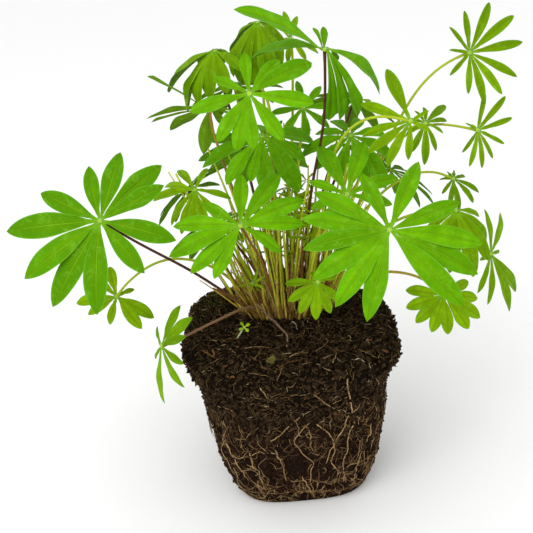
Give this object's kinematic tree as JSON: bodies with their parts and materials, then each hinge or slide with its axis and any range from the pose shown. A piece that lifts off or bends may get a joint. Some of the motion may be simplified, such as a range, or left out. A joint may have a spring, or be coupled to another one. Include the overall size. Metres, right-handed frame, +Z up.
{
  "type": "young lupin plant with bare root ball",
  "caption": "Young leafy lupin plant out of its pot: long-stalked leaves with whorled leaflets rise from a crown in a tapered root ball bound by fine roots.",
  "frame": {"origin": "centre of the root ball's flat underside", "axes": "+Z up along the plant, -Y towards the front of the plant, +X to its right as seen from the front"},
  "size_m": [0.3646, 0.2641, 0.3574],
  "materials": {
    "compost": "damp crumbly compost, near-black brown",
    "root": "matt cream to tan roots",
    "crown": "dry ochre and brown stalk bases",
    "dead_stalk": "dry brown stalk",
    "seedling": "soft pale green",
    "leaf_scrap": "withered olive brown",
    "leaf_mature": "satin leaf green with a paler midrib",
    "leaf_deep": "satin olive green of older leaves",
    "leaf_fresh": "satin yellow-green",
    "leaf_young": "downy pale yellow-green"
  },
  "bodies": {
    "root": {"root_ball": "compost", "roots": "root", "crown": "crown", "dead_stalk": "dead_stalk", "seedling": "seedling", "leaf_scrap": "leaf_scrap", "leaf_left_large": "leaf_mature", "leaf_left_low": "leaf_fresh", "leaf_left_middle": "leaf_fresh", "leaf_centre_large": "leaf_mature", "leaf_upper_centre": "leaf_mature", "leaf_top_arched": "leaf_mature", "leaf_top_umbrella": "leaf_deep", "leaf_upper_left_umbrella": "leaf_deep", "leaf_left_underside": "leaf_deep", "leaf_centre_hanging": "leaf_mature", "leaf_right_centre": "leaf_fresh", "leaf_right_centre_small": "leaf_deep", "leaf_far_right_top": "leaf_fresh", "leaf_far_right": "leaf_fresh", "leaf_right_small": "leaf_deep", "leaf_right_umbrella": "leaf_deep", "leaf_right_front_large": "leaf_mature", "leaf_crown_front": "leaf_fresh", "leaf_right_low": "leaf_fresh", "leaf_right_edge": "leaf_deep", "leaf_centre_right": "leaf_mature", "leaf_centre_dark": "leaf_mature", "leaf_inner_top": "leaf_mature", "leaf_inner_back": "leaf_fresh", "leaf_young_left": "leaf_young", "leaf_young_right": "leaf_young", "leaf_beside_soil": "leaf_deep", "leaf_back_left_low": "leaf_mature", "leaf_back_left": "leaf_mature", "leaf_back_centre": "leaf_mature", "leaf_back_right_low": "leaf_mature", "leaf_back_right": "leaf_mature", "leaf_back_right_top": "leaf_deep", "leaf_back_top": "leaf_deep"}
  },
  "joints": []
}
